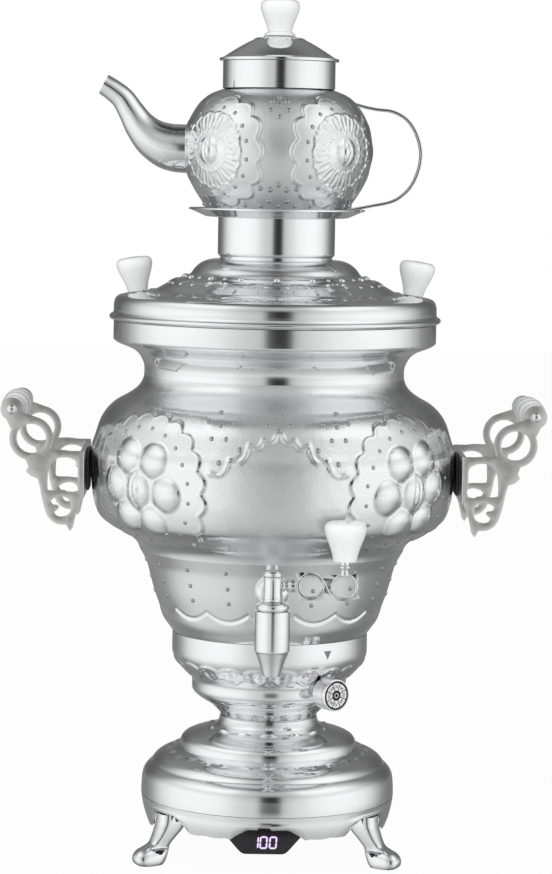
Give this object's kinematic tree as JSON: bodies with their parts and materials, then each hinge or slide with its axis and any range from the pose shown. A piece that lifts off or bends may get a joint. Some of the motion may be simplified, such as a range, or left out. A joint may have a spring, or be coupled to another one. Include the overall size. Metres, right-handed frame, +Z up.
{
  "type": "electric samovar with teapot",
  "caption": "Electric samovar in polished embossed steel with a lever tap, a temperature dial, two carrying handles, and a teapot on a stand on its lid.",
  "frame": {"origin": "on the floor, at the middle of the whole footprint with tap, handles and knobs; the samovar's turning axis stands 9.6 mm behind it", "axes": "+Z up, -Y towards the tap and the display, +X to the right of someone facing the tap"},
  "size_m": [0.3852, 0.2792, 0.6101],
  "materials": {
    "polished_steel": "polished stainless steel",
    "satin_silver": "satin silver plating",
    "plated_zinc": "plain plated metal",
    "brass_plain": "plain brass",
    "white_plastic": "glossy white",
    "black_plastic": "glossy black",
    "dial_white": "printed white",
    "grey_rubber": "dark grey rubber",
    "board_green": "green circuit board"
  },
  "bodies": {
    "samovar": {"base_skirt": "polished_steel", "base_dome": "polished_steel", "base_plate": "plated_zinc", "foot_left": "polished_steel", "foot_right": "polished_steel", "foot_back": "polished_steel", "foot_screw_left": "plated_zinc", "foot_screw_right": "plated_zinc", "foot_screw_back": "plated_zinc", "display_panel": "black_plastic", "control_board": "board_green", "cord_gland": "black_plastic", "clamp_tube": "plated_zinc", "clamp_nut": "plated_zinc", "burner_cup": "polished_steel", "body_lower": "polished_steel", "body_upper": "polished_steel", "tank_floor": "polished_steel", "heating_element": "plated_zinc", "thermal_cutout": "black_plastic", "thermostat_body": "plated_zinc", "thermostat_bulb": "plated_zinc", "tap_rosette": "polished_steel", "tap_gasket": "grey_rubber", "tap_nut": "brass_plain", "tap_body": "polished_steel", "tap_cap": "polished_steel", "tap_nozzle": "polished_steel", "handle_bracket_left": "satin_silver", "handle_bracket_right": "satin_silver", "handle_bolt_left": "polished_steel", "handle_bolt_right": "polished_steel", "handle_gasket_left": "grey_rubber", "handle_gasket_right": "grey_rubber", "handle_screw_left": "plated_zinc", "handle_screw_right": "plated_zinc"},
    "tap_handle": {"tap_shaft": "polished_steel", "tap_lever": "polished_steel", "tap_lever_knob": "white_plastic"},
    "tap_valve": {"tap_stem": "brass_plain"},
    "thermostat_control": {"thermostat_shaft": "plated_zinc", "thermostat_knob": "polished_steel", "thermostat_dial": "dial_white"},
    "grip_left": {"handle_grip_left": "white_plastic"},
    "grip_right": {"handle_grip_right": "white_plastic"},
    "lid_group": {"lid": "polished_steel", "lid_knob_left": "white_plastic", "lid_knob_right": "white_plastic", "lid_screw_left": "plated_zinc", "lid_screw_right": "plated_zinc"},
    "stand": {"stand_collar": "polished_steel", "stand_saucer": "polished_steel"},
    "teapot": {"teapot_body": "polished_steel", "teapot_neck": "polished_steel", "teapot_spout": "polished_steel", "teapot_handle": "polished_steel", "teapot_strainer": "polished_steel"},
    "teapot_lid_group": {"teapot_lid": "polished_steel", "teapot_lid_knob": "white_plastic", "teapot_lid_screw": "plated_zinc"}
  },
  "joints": [
    {"name": "lid_lift", "type": "slide", "parent": "samovar", "child": "lid_group", "axis": [0, 0, 1], "range_m": [0, 0.08]},
    {"name": "stand_lift", "type": "slide", "parent": "lid_group", "child": "stand", "axis": [0, 0, 1], "range_m": [0, 0.05]},
    {"name": "teapot_lift", "type": "slide", "parent": "stand", "child": "teapot", "axis": [0, 0, 1], "range_m": [0, 0.1]},
    {"name": "teapot_lid_lift", "type": "slide", "parent": "teapot", "child": "teapot_lid_group", "axis": [0, 0, 1], "range_m": [0, 0.05]},
    {"name": "tap_turn", "type": "hinge", "parent": "samovar", "child": "tap_handle", "pos_m": [0, -0.1254, 0.2125], "axis": [1, 0, 0], "range_deg": [0, 90]},
    {"name": "tap_stem_lift", "type": "slide", "parent": "samovar", "child": "tap_valve", "axis": [0, 0, 1], "range_m": [0, 0.003]},
    {"name": "thermostat_turn", "type": "hinge", "parent": "samovar", "child": "thermostat_control", "pos_m": [0.0325, -0.03514, 0.1257], "axis": [0.5878, -0.809, 0], "range_deg": [0, 270]},
    {"name": "grip_left_spin", "type": "hinge", "parent": "samovar", "child": "grip_left", "pos_m": [-0.1826, 0.0096, 0.3212], "axis": [0, 1, 0], "continuous": true},
    {"name": "grip_right_spin", "type": "hinge", "parent": "samovar", "child": "grip_right", "pos_m": [0.1826, 0.0096, 0.3212], "axis": [0, 1, 0], "continuous": true}
  ],
  "couplings": [
    {"joint": "tap_stem_lift", "follows": "tap_turn", "m_per_rad": 0.0019}
  ]
}
